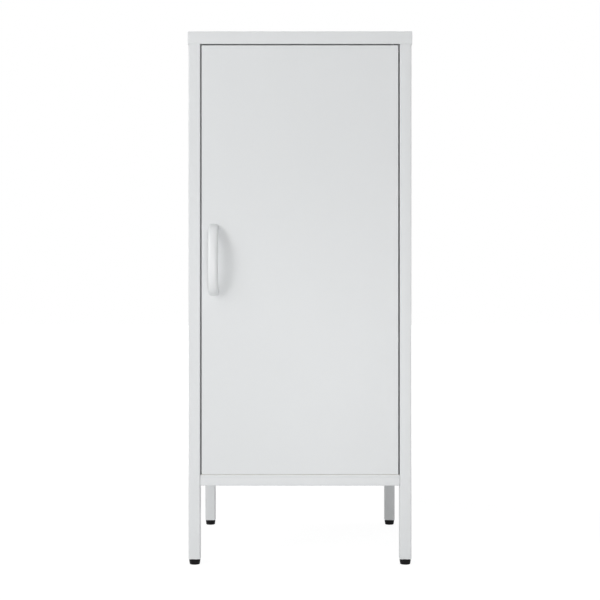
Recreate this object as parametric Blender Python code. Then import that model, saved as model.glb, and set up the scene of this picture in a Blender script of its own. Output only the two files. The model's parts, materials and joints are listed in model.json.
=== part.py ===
"""One-door metal storage cabinet on four legs, at real size: metres, +Z up, the door facing -Y.

The world origin is on the floor, below the middle of the cabinet's bounding box. Sizes below are worked out
in the cabinet's own frame, whose origin is on the floor below the middle of the top cap.
"""

import math

import bmesh
import bpy
from mathutils import Matrix, Vector

# Overall size, over the top cap and down to the feet.
WIDTH = 0.380
DEPTH = 0.400
HEIGHT = 0.9037

# Sheet metal and the clearances between pieces.
SHEET = 0.0008
FOLD_RADIUS = 0.0010
FOLD_STEPS = 2
SEAT_GAP = 0.0003
SLIP_GAP = 0.0010
RUNNING_GAP = 0.0003
HOLE_CUT = 0.005

# Square tube posts, which are also the legs, and the rails between their tops.
POST_SIZE = 0.020
POST_WALL = 0.0012
POST_CORNER = 0.002
POST_INNER_CORNER = 0.0008
CORNER_STEPS = 3
REAR_RAIL_HEIGHT = 0.018

# Top cap, with welded studs that drop through the side panels.
CAP_FLANGE = 0.0215
CAP_STUD_END_DISTANCE = 0.060
STUD_DIAMETER = 0.004
CAP_STUD_LENGTH = 0.010
NUT_FLATS = 0.007
NUT_HEIGHT = 0.0032

# Feet, legs and floor.
FOOT_HEIGHT = 0.0097
FOOT_TOP_RADIUS = 0.0098
FOOT_BASE_RADIUS = 0.0086
FOOT_RIM = 0.0022
FOOT_EDGE = 0.0008
FOOT_FLOOR = 0.0027
FOOT_STUD_DIAMETER = 0.0074
FOOT_STUD_LENGTH = 0.026
FOOT_STUD_CHAMFER = 0.001
INSERT_HEIGHT = 0.016
INSERT_LEAD = 0.003
INSERT_TAPER = 0.0006
INSERT_CORNER = 0.001
LEG_CLEAR = 0.1245
FLOOR_FLANGE = 0.015
FLOOR_LIP = 0.010
HEM_GAP = 0.0003
HEM_SLOT = 0.0003
HEM_STEPS = 4
CREASE_RISE = 0.014
CREASE_DEPTH = 0.0004
CREASE_HALF = 0.0005
FLOOR_SCREW_END_DISTANCE = 0.080

# Panels.
SIDE_RECESS = 0.001
SIDE_FLANGE = 0.019
BACK_RECESS = 0.004
BACK_FLANGE = 0.012

# Door, its stiffener and its pivot.
DOOR_SIDE_GAP = 0.0022
DOOR_TOP_GAP = 0.0020
DOOR_BOTTOM_GAP = 0.004
DOOR_DEPTH = 0.018
DOOR_LIP = 0.014
STIFFENER_CROWN = 0.040
STIFFENER_FOOT = 0.012
STIFFENER_DEPTH = 0.012
STIFFENER_END = 0.015
PIVOT_INSET = 0.0093
PIVOT_SETBACK = 0.0065
PIN_DIAMETER = 0.004
PIN_ENGAGEMENT = 0.008
PIN_HEAD_RADIUS = 0.0034
PIN_HEAD = 0.0015
BUSH_WALL = 0.0009
BUSH_FLANGE_RADIUS = 0.0042
BUSH_FLANGE = 0.0012
BUSH_BARREL = 0.006
BUSH_LIP = 0.0006
BUSH_LIP_HEIGHT = 0.0005
WASHER_RADIUS = 0.0042

# Bow handle on the free edge of the door.
HANDLE_EDGE_INSET = 0.0207
HANDLE_CENTRE_HEIGHT = 0.5167
HANDLE_SCREW_CENTRES = 0.110
HANDLE_REACH = 0.032
HANDLE_WIDTH = 0.0175
HANDLE_GRIP_THICKNESS = 0.008
HANDLE_FOOT_THICKNESS = 0.011
HANDLE_BOW_POWER = 2.3
HANDLE_SECTION_POWER = 2.8
HANDLE_STEPS = 20
HANDLE_SIDES = 16
HANDLE_SCREW_BITE = 0.009

# Door stop, bumpers and magnetic catch.
STOP_SHEET = 0.0015
STOP_OVERLAP = 0.007
STOP_REACH = 0.012
STOP_CORNER = 0.003
BUMPER_RADIUS = 0.004
BUMPER_DOME = 0.0009
BUMPER_SHOULDER = 0.0018
BUMPER_END_DISTANCE = 0.050
CATCH_EDGE_INSET = 0.0603
CATCH_BODY_WIDTH = 0.040
CATCH_BODY_DEPTH = 0.015
CATCH_FLANGE_HEIGHT = 0.014
CATCH_FLANGE_THICKNESS = 0.0025
CATCH_PROUD = 0.0006
CATCH_WALL = 0.0035
CATCH_CORNER = 0.0012
CATCH_SCREW_SPACING = 0.028
MAGNET_WIDTH = 0.030
MAGNET_HEIGHT = 0.009
MAGNET_DEPTH = 0.010
POLE_PLATE = 0.002

# Screws: machine screws for the floor and handle, smaller ones for the catch. A pan head's profile, from
# its crown to its rim, is in shares of its radius and height.
SCREW_DIAMETER = 0.004
SCREW_HEAD_RADIUS = 0.0040
SCREW_HEAD = 0.0024
PAN_HEAD = ((0.55, 1.0), (0.88, 0.78), (1.0, 0.35))
FLOOR_SCREW_LENGTH = 0.008
CATCH_SCREW_DIAMETER = 0.003
CATCH_SCREW_HEAD_RADIUS = 0.0029
CATCH_SCREW_HEAD = 0.0018
CATCH_SCREW_LENGTH = 0.008

# Shelves, the slots that carry them and the clips between.
SHELF_NAMES = ("lower", "upper")
SHELF_FLANGE = 0.020
SHELF_LIP = 0.010
SHELF_SIDE_GAP = 0.0012
SHELF_END_GAP = 0.0033
SLOT_WIDTH = 0.003
SLOT_HEIGHT = 0.012
SLOT_PITCH = 0.050
SLOT_EDGE_INSET = 0.0064
FIRST_SLOT_RISE = 0.125
LAST_SLOT_MARGIN = 0.090
CLIP_SHEET = 0.0012
CLIP_WIDTH = 0.010
CLIP_TAB = 0.016
CLIP_PLATE_RISE = 0.016
CLIP_HOOK_RISE = 0.001
CLIP_NECK = 0.006
CLIP_BEAK = 0.004

ROUND_SIDES = 16
DOME_STEPS = 3
SHARP_ANGLE = math.radians(50)
AXIS_MARK = 0.03

# Frame of posts, in the cabinet's own frame.
FRAME_HALF_WIDTH = WIDTH / 2 - SHEET - SEAT_GAP
FRAME_HALF_DEPTH = DEPTH / 2 - SHEET - SEAT_GAP
POST_X = FRAME_HALF_WIDTH - POST_SIZE / 2
POST_Y = FRAME_HALF_DEPTH - POST_SIZE / 2
BAY_HALF_WIDTH = FRAME_HALF_WIDTH - POST_SIZE
BAY_HALF_DEPTH = FRAME_HALF_DEPTH - POST_SIZE
FRAME_TOP = HEIGHT - SHEET - SEAT_GAP
FRONT_RAIL_BOTTOM = FRAME_TOP - POST_SIZE

# Floor and panels.
FLOOR_BOTTOM = FOOT_HEIGHT + LEG_CLEAR
FLOOR_TOP = FLOOR_BOTTOM + FLOOR_FLANGE
SIDE_OUTER_X = FRAME_HALF_WIDTH - SIDE_RECESS
SIDE_INNER_X = SIDE_OUTER_X - SHEET
SIDE_HALF_DEPTH = BAY_HALF_DEPTH - SEAT_GAP
SIDE_FLANGE_INNER_Y = SIDE_HALF_DEPTH - SHEET
BACK_OUTER_Y = FRAME_HALF_DEPTH - BACK_RECESS
BACK_INNER_Y = BACK_OUTER_Y - SHEET
BACK_HALF_WIDTH = BAY_HALF_WIDTH - SEAT_GAP
BACK_TOP = FRAME_TOP - REAR_RAIL_HEIGHT - SEAT_GAP

# Door and pivot axis.
DOOR_HALF_WIDTH = BAY_HALF_WIDTH - DOOR_SIDE_GAP
DOOR_BOTTOM = FLOOR_TOP + DOOR_BOTTOM_GAP
DOOR_TOP = HEIGHT - CAP_FLANGE - DOOR_TOP_GAP
DOOR_MIDDLE = (DOOR_BOTTOM + DOOR_TOP) / 2
DOOR_FRONT_Y = -FRAME_HALF_DEPTH
DOOR_REAR_Y = DOOR_FRONT_Y + DOOR_DEPTH
DOOR_SKIN_Y = DOOR_FRONT_Y + SHEET
PIVOT_X = DOOR_HALF_WIDTH - PIVOT_INSET
PIVOT_Y = DOOR_FRONT_Y + PIVOT_SETBACK
PIN_RADIUS = PIN_DIAMETER / 2
BUSH_BORE_RADIUS = PIN_RADIUS + RUNNING_GAP
BUSH_RADIUS = BUSH_BORE_RADIUS + BUSH_WALL
HANDLE_X = -DOOR_HALF_WIDTH + HANDLE_EDGE_INSET

# Middle of the bounding box: the handle reaches further forward than the cap.
HANDLE_TIP_Y = DOOR_FRONT_Y - SEAT_GAP - HANDLE_REACH
CABINET_Y = -(HANDLE_TIP_Y + DEPTH / 2) / 2

# Shelf slots: as many as fit, and a shelf at the slot nearest each equal division of the height inside.
SLOT_X = SIDE_OUTER_X - SLOT_EDGE_INSET
FIRST_SLOT = FLOOR_TOP + FIRST_SLOT_RISE
SLOT_COUNT = 1 + int((FRAME_TOP - LAST_SLOT_MARGIN - FIRST_SLOT) / SLOT_PITCH)
SHELF_RISE = SHELF_FLANGE + SEAT_GAP - CLIP_HOOK_RISE

WHITE_PAINT = ("white_paint", (0.72, 0.73, 0.745), 0.42, 0.0)
BLACK_PLASTIC = ("black_plastic", (0.012, 0.012, 0.013), 0.5, 0.0)
WHITE_NYLON = ("white_nylon", (0.78, 0.77, 0.73), 0.45, 0.0)
ZINC_STEEL = ("zinc_steel", (0.58, 0.59, 0.60), 0.32, 1.0)
GREY_RUBBER = ("grey_rubber", (0.16, 0.16, 0.17), 0.8, 0.0)
MAGNET_STEEL = ("magnet_steel", (0.20, 0.20, 0.21), 0.45, 0.8)

CABINET = "cabinet"
DOOR = "door"


def clear_scene():
    """Remove every object of the startup scene."""
    for old in list(bpy.data.objects):
        bpy.data.objects.remove(old, do_unlink=True)


def material_for(node_name, finish):
    """A material of its own for one sub-part."""
    label, colour, roughness, metallic = finish
    material = bpy.data.materials.new(node_name + "_" + label)
    material.use_nodes = True
    shader = material.node_tree.nodes["Principled BSDF"]
    shader.inputs["Base Color"].default_value = (*colour, 1.0)
    shader.inputs["Roughness"].default_value = roughness
    shader.inputs["Metallic"].default_value = metallic
    return material


class Bodies:
    """The empties that carry the sub-parts: one for the cabinet, and one for each piece that moves."""

    def __init__(self):
        self.empties = {}
        self.offsets = {}

    def add(self, name, offset):
        """An empty at a point of the cabinet's frame: a moving body's is on its joint's axis."""
        empty = bpy.data.objects.new(name + "_origin", None)
        empty.empty_display_size = AXIS_MARK
        bpy.context.scene.collection.objects.link(empty)
        self.offsets[name] = Vector(offset)
        if self.empties:
            empty.parent = self.empties[CABINET]
            empty.location = self.offsets[name]
        else:
            empty.location = (0.0, CABINET_Y, 0.0)
        self.empties[name] = empty

    def attach(self, thing, name, location, rotation=(0.0, 0.0, 0.0)):
        """Parent a thing to a body, at a point of the cabinet's frame."""
        thing.parent = self.empties[name]
        thing.location = Vector(location) - self.offsets[name]
        thing.rotation_euler = rotation


BODIES = Bodies()


def new_object(name, mesh, body, location=(0.0, 0.0, 0.0), rotation=(0.0, 0.0, 0.0)):
    """A linked object on a body."""
    thing = bpy.data.objects.new(name, mesh)
    bpy.context.scene.collection.objects.link(thing)
    BODIES.attach(thing, body, location, rotation)
    return thing


def mesh_from(name, bm):
    """A mesh from a bmesh, smooth across its rounds and sharp at its edges."""
    mesh = bpy.data.meshes.new(name)
    bm.to_mesh(mesh)
    bm.free()
    mesh.shade_smooth()
    mesh.set_sharp_from_angle(angle=SHARP_ANGLE)
    return mesh


def part(name, bm, finish, body, location=(0.0, 0.0, 0.0), rotation=(0.0, 0.0, 0.0)):
    """A sub-part: a named object with its own material."""
    mesh = mesh_from(name, bm)
    mesh.materials.append(material_for(name, finish))
    return new_object(name, mesh, body, location, rotation)


def helper(name, bm, body):
    """A solid that only cuts or joins others."""
    thing = new_object(name, mesh_from(name, bm), body)
    thing.hide_render = True
    thing.display_type = "WIRE"
    return thing


def combine(target, tool, operation):
    """A Boolean of a target with a helper."""
    modifier = target.modifiers.new(tool.name, "BOOLEAN")
    modifier.operation = operation
    modifier.solver = "EXACT"
    modifier.object = tool


def add_block(bm, low, high):
    """A box between two opposite corners."""
    size = Vector(high) - Vector(low)
    centre = (Vector(high) + Vector(low)) / 2
    bmesh.ops.create_cube(bm, size=1.0, matrix=Matrix.Translation(centre) @ Matrix.Diagonal((*size, 1.0)))


def add_rod(bm, centre, radius, length, axis):
    """A round rod about a centre, along a direction."""
    turn = Vector((0.0, 0.0, 1.0)).rotation_difference(Vector(axis)).to_matrix().to_4x4()
    bmesh.ops.create_cone(
        bm,
        cap_ends=True,
        segments=ROUND_SIDES,
        radius1=radius,
        radius2=radius,
        depth=length,
        matrix=Matrix.Translation(Vector(centre)) @ turn,
    )


def skin(rings, closed=False):
    """A solid skinned over rings of points, with flat ends or, where closed, joined last to first."""
    bm = bmesh.new()
    loops = [[bm.verts.new(point) for point in ring] for ring in rings]
    pairs = list(zip(loops, loops[1:]))
    if closed:
        pairs.append((loops[-1], loops[0]))
    else:
        bm.faces.new(loops[0])
        bm.faces.new(loops[-1])
    for first, second in pairs:
        for here in range(len(first)):
            after = (here + 1) % len(first)
            bm.faces.new((first[here], first[after], second[after], second[here]))
    bmesh.ops.recalc_face_normals(bm, faces=bm.faces)
    return bm


def circle(radius, height, sides=ROUND_SIDES):
    """A ring of points about Z, turned by half a side so that flats face the axes."""
    angles = [2 * math.pi * (step + 0.5) / sides for step in range(sides)]
    return [(radius * math.cos(angle), radius * math.sin(angle), height) for angle in angles]


def turned(profile, closed=False):
    """A solid turned about Z from (radius, height) points."""
    return skin([circle(radius, height) for radius, height in profile], closed)


def rounded_rectangle(half_x, half_y, radius, height):
    """A ring of points round a rectangle with round corners."""
    points = []
    for quarter, (side_x, side_y) in enumerate(((1, 1), (-1, 1), (-1, -1), (1, -1))):
        for step in range(CORNER_STEPS + 1):
            angle = math.pi / 2 * (quarter + step / CORNER_STEPS)
            x = side_x * (half_x - radius) + radius * math.cos(angle)
            y = side_y * (half_y - radius) + radius * math.sin(angle)
            points.append((x, y, height))
    return points


def tube(size_x, size_y, length):
    """A rectangular tube standing on its lower end."""
    half_x = size_x / 2
    half_y = size_y / 2
    rings = [
        rounded_rectangle(half_x, half_y, POST_CORNER, 0.0),
        rounded_rectangle(half_x, half_y, POST_CORNER, length),
        rounded_rectangle(half_x - POST_WALL, half_y - POST_WALL, POST_INNER_CORNER, length),
        rounded_rectangle(half_x - POST_WALL, half_y - POST_WALL, POST_INNER_CORNER, 0.0),
    ]
    return skin(rings, closed=True)


def round_edges(bm, edges, radius, steps):
    """Round some edges, such as the folds of a sheet."""
    bmesh.ops.bevel(
        bm,
        geom=edges,
        offset=radius,
        offset_type="OFFSET",
        segments=steps,
        profile=0.5,
        affect="EDGES",
        clamp_overlap=True,
    )


def give_thickness(thing, thickness):
    """Turn a folded surface into sheet, growing away from its outer side."""
    modifier = thing.modifiers.new("sheet", "SOLIDIFY")
    modifier.thickness = thickness
    modifier.offset = -1.0
    modifier.use_even_offset = True


def folded_pan(width, height, depth, lip=0.0):
    """The outer surface of a sheet pan: its face looks up +Z, its walls go down, and its lips turn in."""
    bm = bmesh.new()
    add_block(bm, (-width / 2, -height / 2, -depth), (width / 2, height / 2, 0.0))
    bm.normal_update()
    back = min(bm.faces, key=lambda face: face.normal.z)
    if lip == 0.0:
        bmesh.ops.delete(bm, geom=[back], context="FACES_ONLY")
        round_edges(bm, [edge for edge in bm.edges if not edge.is_boundary], FOLD_RADIUS, FOLD_STEPS)
        return bm
    round_edges(bm, list(bm.edges), FOLD_RADIUS, FOLD_STEPS)
    back = min(bm.faces, key=lambda face: face.calc_center_median().z)
    bmesh.ops.inset_individual(bm, faces=[back], thickness=lip - FOLD_RADIUS, use_even_offset=True)
    bmesh.ops.delete(bm, geom=[back], context="FACES")
    return bm


def screw(diameter, length, head_radius, head_height):
    """A pan-head screw that points up +Z, with the underside of its head at the origin."""
    radius = diameter / 2
    tip = radius / 2
    crown = [(head_radius * across, -head_height * down) for across, down in PAN_HEAD]
    shank = [(head_radius, 0.0), (radius, 0.0), (radius, length - tip), (radius - tip, length)]
    return turned(crown + shank)


def slot_bottom(index):
    """Height of the lower edge of a shelf slot."""
    return FIRST_SLOT + index * SLOT_PITCH


def shelf_slot(order):
    """Index of the slot that a shelf hangs from: the nearest to its equal share of the height inside."""
    share = (FRONT_RAIL_BOTTOM - FLOOR_TOP) * (order + 1) / (len(SHELF_NAMES) + 1)
    nearest = round((FLOOR_TOP + share - SHELF_RISE - FIRST_SLOT) / SLOT_PITCH)
    return min(max(nearest, 0), SLOT_COUNT - 1)


CORNERS = (
    ("front_left", -1, -1),
    ("front_right", 1, -1),
    ("rear_left", -1, 1),
    ("rear_right", 1, 1),
)


def slot_cutter(name, side_x, wall_y):
    """A column of slot-shaped blocks through a wall at one corner."""
    bm = bmesh.new()
    for index in range(SLOT_COUNT):
        bottom = slot_bottom(index)
        low = (side_x * SLOT_X - SLOT_WIDTH / 2, wall_y - HOLE_CUT / 2, bottom)
        high = (side_x * SLOT_X + SLOT_WIDTH / 2, wall_y + HOLE_CUT / 2, bottom + SLOT_HEIGHT)
        add_block(bm, low, high)
    return helper(name, bm, CABINET)


def build_posts():
    """Four square tubes from the feet to the cap, slotted on the walls that face each other."""
    for corner, side_x, side_y in CORNERS:
        bm = tube(POST_SIZE, POST_SIZE, FRAME_TOP - FOOT_HEIGHT)
        place = (side_x * POST_X, side_y * POST_Y, FOOT_HEIGHT)
        post = part("post_" + corner, bm, WHITE_PAINT, CABINET, place)
        slots = slot_cutter("slots_post_" + corner, side_x, side_y * BAY_HALF_DEPTH)
        combine(post, slots, "DIFFERENCE")


def build_top_rails():
    """Two tubes between the post tops: the front one carries the door's upper pin and the catch."""
    along_x = (0.0, math.radians(90), 0.0)
    length = 2 * (BAY_HALF_WIDTH - SEAT_GAP)
    rails = {}
    for end, side_y, height in (("front", -1, POST_SIZE), ("rear", 1, REAR_RAIL_HEIGHT)):
        bm = tube(height, POST_SIZE, length)
        place = (-length / 2, side_y * POST_Y, FRAME_TOP - height / 2)
        rails[end] = part("top_rail_" + end, bm, WHITE_PAINT, CABINET, place, along_x)
    bm = bmesh.new()
    add_rod(bm, (PIVOT_X, PIVOT_Y, FRONT_RAIL_BOTTOM), PIN_RADIUS + RUNNING_GAP, HOLE_CUT, (0, 0, 1))
    for x in catch_screw_places():
        centre = (x, -BAY_HALF_DEPTH, catch_flange_middle())
        add_rod(bm, centre, CATCH_SCREW_DIAMETER / 2 + RUNNING_GAP, HOLE_CUT, (0, 1, 0))
    combine(rails["front"], helper("holes_top_rail", bm, CABINET), "DIFFERENCE")


def build_cap():
    """The folded top, open below, with four welded studs, and the nuts that hold it to the side panels."""
    cap = part("top_panel", folded_pan(WIDTH, DEPTH, CAP_FLANGE), WHITE_PAINT, CABINET, (0.0, 0.0, HEIGHT))
    give_thickness(cap, SHEET)
    stud_x = SIDE_OUTER_X - SIDE_FLANGE / 2
    stud_top = HEIGHT - SHEET / 2
    stud_bottom = HEIGHT - SHEET - CAP_STUD_LENGTH
    studs = bmesh.new()
    holes = bmesh.new()
    for corner, side_x, side_y in CORNERS:
        x = side_x * stud_x
        y = side_y * (DEPTH / 2 - CAP_STUD_END_DISTANCE)
        centre = (x, y, (stud_top + stud_bottom) / 2)
        add_rod(studs, centre, STUD_DIAMETER / 2, stud_top - stud_bottom, (0, 0, 1))
        add_rod(holes, (x, y, FRAME_TOP), STUD_DIAMETER / 2 + RUNNING_GAP, HOLE_CUT, (0, 0, 1))
        nut_top = FRAME_TOP - SHEET - SEAT_GAP
        part("cap_nut_" + corner, nut(), ZINC_STEEL, CABINET, (x, y, nut_top - NUT_HEIGHT))
    combine(cap, helper("studs_top_panel", studs, CABINET), "UNION")
    return helper("holes_cap_studs", holes, CABINET)


def nut():
    """A hexagon nut on its lower face, with chamfered corners and a plain bore."""
    sides = 12
    apothem = NUT_FLATS / 2
    bore = STUD_DIAMETER / 2 + RUNNING_GAP
    corner = apothem / math.cos(math.pi / 6)

    def hexagon(height, reach):
        """A hexagon of corners and side middles, whose corners are held to a reach."""
        ring = []
        for step in range(sides):
            angle = 2 * math.pi * step / sides
            radius = apothem if step % 2 else min(corner, reach)
            ring.append((radius * math.cos(angle), radius * math.sin(angle), height))
        return ring

    def hole(height):
        """The bore's edge."""
        angles = [2 * math.pi * step / sides for step in range(sides)]
        return [(bore * math.cos(angle), bore * math.sin(angle), height) for angle in angles]

    chamfer = (corner - apothem) / 2
    rings = [
        hexagon(0.0, apothem),
        hexagon(chamfer, corner),
        hexagon(NUT_HEIGHT - chamfer, corner),
        hexagon(NUT_HEIGHT, apothem),
        hole(NUT_HEIGHT),
        hole(0.0),
    ]
    return skin(rings, closed=True)


def build_side_panels(stud_holes):
    """Folded side sheets between the posts, slotted for the clips and holed for studs and floor screws."""
    height = FRAME_TOP - FLOOR_BOTTOM
    middle = (FRAME_TOP + FLOOR_BOTTOM) / 2
    floor_holes = bmesh.new()
    for x, y in floor_screw_places():
        add_rod(floor_holes, (x, y, FLOOR_BOTTOM), SCREW_DIAMETER / 2 + RUNNING_GAP, HOLE_CUT, (0, 0, 1))
    screw_holes = helper("holes_floor_screws", floor_holes, CABINET)
    for label, side_x in (("left", -1), ("right", 1)):
        bm = folded_pan(height, 2 * SIDE_HALF_DEPTH, SIDE_FLANGE)
        facing_out = (0.0, side_x * math.radians(90), 0.0)
        place = (side_x * SIDE_OUTER_X, 0.0, middle)
        panel = part("side_panel_" + label, bm, WHITE_PAINT, CABINET, place, facing_out)
        give_thickness(panel, SHEET)
        for end, side_y in (("front", -1), ("rear", 1)):
            name = "slots_panel_" + end + "_" + label
            combine(panel, slot_cutter(name, side_x, side_y * SIDE_HALF_DEPTH), "DIFFERENCE")
        combine(panel, stud_holes, "DIFFERENCE")
        combine(panel, screw_holes, "DIFFERENCE")
    return screw_holes


def build_back_panel():
    """A folded sheet between the rear posts, from the floor's rear flange to the rear rail."""
    bm = folded_pan(2 * BACK_HALF_WIDTH, BACK_TOP - FLOOR_BOTTOM, BACK_FLANGE)
    facing_back = (math.radians(-90), 0.0, 0.0)
    place = (0.0, BACK_OUTER_Y, (BACK_TOP + FLOOR_BOTTOM) / 2)
    give_thickness(part("back_panel", bm, WHITE_PAINT, CABINET, place, facing_back), SHEET)


def floor_screw_places():
    """Where the floor's side lips are screwed to the side panels' lower flanges."""
    x = SIDE_INNER_X - SEAT_GAP - FLOOR_LIP / 2
    y = DEPTH / 2 - FLOOR_SCREW_END_DISTANCE
    return [(side_x * x, side_y * y) for _, side_x, side_y in CORNERS]


def floor_front():
    """Section of the floor's front edge, (y, z): over a hem under the door, down past a crease, and in."""
    front = -FRAME_HALF_DEPTH
    hem_radius = SHEET + HEM_SLOT / 2
    hem_middle = DOOR_BOTTOM - HEM_GAP - hem_radius
    crease = FLOOR_BOTTOM + CREASE_RISE
    line = []
    for step in range(HEM_STEPS + 1):
        angle = math.pi * step / HEM_STEPS
        line.append((front + hem_radius * (1 + math.cos(angle)), hem_middle + hem_radius * math.sin(angle)))
    line.append((front, crease + CREASE_HALF))
    line.append((front + CREASE_DEPTH, crease))
    line.append((front, crease - CREASE_HALF))
    line.append((front, FLOOR_BOTTOM))
    line.append((front + FLOOR_LIP, FLOOR_BOTTOM))
    return line


def build_floor(screw_holes):
    """The floor: one sheet notched round the posts, its front hemmed and folded down as the lower rail."""
    front_line = floor_front()
    half_front = BAY_HALF_WIDTH - SEAT_GAP
    half_rear = BACK_HALF_WIDTH - SHEET - SLIP_GAP
    half_wide = SIDE_INNER_X - SEAT_GAP
    half_deep = SIDE_FLANGE_INNER_Y - SLIP_GAP
    front = front_line[0][0]
    rear = BACK_INNER_Y - SEAT_GAP
    inner_bottom = FLOOR_BOTTOM + SHEET + SEAT_GAP
    outline = [
        (-half_front, front),
        (half_front, front),
        (half_front, -half_deep),
        (half_wide, -half_deep),
        (half_wide, half_deep),
        (half_rear, half_deep),
        (half_rear, rear),
        (-half_rear, rear),
        (-half_rear, half_deep),
        (-half_wide, half_deep),
        (-half_wide, -half_deep),
        (-half_front, -half_deep),
    ]
    bm = bmesh.new()
    top = [bm.verts.new((x, y, FLOOR_TOP)) for x, y in outline]
    bm.faces.new(top)
    folds = []

    def flange(first, second, bottom, lip_direction):
        """A wall down from one edge of the top and, where it has a direction, a lip at its foot."""
        edge = (top[first], top[second])
        foot = [bm.verts.new((vert.co.x, vert.co.y, bottom)) for vert in edge]
        bm.faces.new((edge[1], edge[0], foot[0], foot[1]))
        folds.append(edge)
        if lip_direction is None:
            return
        reach = Vector(lip_direction) * FLOOR_LIP
        lip = [bm.verts.new(vert.co + reach) for vert in foot]
        bm.faces.new((foot[1], foot[0], lip[0], lip[1]))
        folds.append(foot)

    row = top[:2]
    for y, z in front_line:
        after = [bm.verts.new((vert.co.x, y, z)) for vert in row]
        bm.faces.new((row[1], row[0], after[0], after[1]))
        row = after
        if (y, z) == front_line[-2]:
            folds.append(row)
    flange(3, 4, inner_bottom, (-1, 0, 0))
    flange(6, 7, inner_bottom, None)
    flange(9, 10, inner_bottom, (1, 0, 0))
    round_edges(bm, [bm.edges.get(pair) for pair in folds], FOLD_RADIUS, FOLD_STEPS)
    floor = part("floor_panel", bm, WHITE_PAINT, CABINET)
    give_thickness(floor, SHEET)
    pin_hole = bmesh.new()
    add_rod(pin_hole, (PIVOT_X, PIVOT_Y, FLOOR_TOP), PIN_RADIUS + RUNNING_GAP, HOLE_CUT, (0, 0, 1))
    combine(floor, helper("hole_floor_pin", pin_hole, CABINET), "DIFFERENCE")
    combine(floor, screw_holes, "DIFFERENCE")
    for (corner, _, _), (x, y) in zip(CORNERS, floor_screw_places()):
        bm = screw(SCREW_DIAMETER, FLOOR_SCREW_LENGTH, SCREW_HEAD_RADIUS, SCREW_HEAD)
        part("floor_screw_" + corner, bm, ZINC_STEEL, CABINET, (x, y, FLOOR_BOTTOM - SEAT_GAP))


def build_feet():
    """A threaded insert in each leg end, and a foot with its stud that screws down out of it."""
    bore = FOOT_STUD_DIAMETER / 2 + RUNNING_GAP
    top = FOOT_HEIGHT - SEAT_GAP
    foot_profile = [
        (FOOT_BASE_RADIUS - FOOT_EDGE, 0.0),
        (FOOT_BASE_RADIUS, FOOT_EDGE / 2),
        (FOOT_TOP_RADIUS, top - FOOT_RIM),
        (FOOT_TOP_RADIUS, top),
        (bore, top),
        (bore, FOOT_FLOOR),
    ]
    stud_bottom = FOOT_FLOOR + SEAT_GAP
    stud_radius = FOOT_STUD_DIAMETER / 2
    stud_top = FOOT_HEIGHT + FOOT_STUD_LENGTH
    stud_profile = [
        (stud_radius, stud_bottom),
        (stud_radius, stud_top - FOOT_STUD_CHAMFER),
        (stud_radius - FOOT_STUD_CHAMFER, stud_top),
    ]
    half = POST_SIZE / 2 - POST_WALL - SEAT_GAP
    lead = half - INSERT_TAPER
    sides = 4 * (CORNER_STEPS + 1)
    insert_rings = [
        rounded_rectangle(half, half, INSERT_CORNER, 0.0),
        rounded_rectangle(half, half, INSERT_CORNER, INSERT_HEIGHT - INSERT_LEAD),
        rounded_rectangle(lead, lead, INSERT_CORNER, INSERT_HEIGHT),
        circle(bore, INSERT_HEIGHT, sides),
        circle(bore, 0.0, sides),
    ]
    for corner, side_x, side_y in CORNERS:
        x = side_x * POST_X
        y = side_y * POST_Y
        insert = skin(insert_rings, closed=True)
        part("leg_insert_" + corner, insert, BLACK_PLASTIC, CABINET, (x, y, FOOT_HEIGHT))
        body = "foot_" + corner
        BODIES.add(body, (x, y, 0.0))
        part("foot_pad_" + corner, turned(foot_profile), BLACK_PLASTIC, body, (x, y, 0.0))
        part("foot_stud_" + corner, turned(stud_profile), ZINC_STEEL, body, (x, y, 0.0))


def build_door():
    """The door pan, its stiffener and its pivot bushes."""
    BODIES.add(DOOR, (PIVOT_X, PIVOT_Y, 0.0))
    bm = folded_pan(2 * DOOR_HALF_WIDTH, DOOR_TOP - DOOR_BOTTOM, DOOR_DEPTH, DOOR_LIP)
    facing_front = (math.radians(90), 0.0, 0.0)
    door = part("door_panel", bm, WHITE_PAINT, DOOR, (0.0, DOOR_FRONT_Y, DOOR_MIDDLE), facing_front)
    give_thickness(door, SHEET)
    holes = bmesh.new()
    for height in (DOOR_BOTTOM, DOOR_TOP):
        add_rod(holes, (PIVOT_X, PIVOT_Y, height), BUSH_RADIUS + SEAT_GAP, HOLE_CUT, (0, 0, 1))
    for height in handle_screw_heights():
        centre = (HANDLE_X, DOOR_FRONT_Y, height)
        add_rod(holes, centre, SCREW_DIAMETER / 2 + RUNNING_GAP, HOLE_CUT, (0, 1, 0))
    combine(door, helper("holes_door", holes, DOOR), "DIFFERENCE")
    build_stiffener()
    build_bushes()


def build_stiffener():
    """A hat channel up the middle of the door's inner face."""
    crown = STIFFENER_CROWN / 2
    foot = crown + STIFFENER_FOOT
    outline = [
        (-foot, 0.0),
        (-crown, 0.0),
        (-crown, STIFFENER_DEPTH),
        (crown, STIFFENER_DEPTH),
        (crown, 0.0),
        (foot, 0.0),
    ]
    low = DOOR_BOTTOM + STIFFENER_END
    high = DOOR_TOP - STIFFENER_END
    bm = bmesh.new()
    lower = [bm.verts.new((x, y, low)) for x, y in outline]
    upper = [bm.verts.new((x, y, high)) for x, y in outline]
    for here in range(len(outline) - 1):
        bm.faces.new((lower[here], lower[here + 1], upper[here + 1], upper[here]))
    folds = [bm.edges.get((lower[here], upper[here])) for here in range(1, len(outline) - 1)]
    round_edges(bm, folds, FOLD_RADIUS, FOLD_STEPS)
    place = (0.0, DOOR_SKIN_Y + SEAT_GAP, 0.0)
    give_thickness(part("door_stiffener", bm, WHITE_PAINT, DOOR, place), SHEET)


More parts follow.
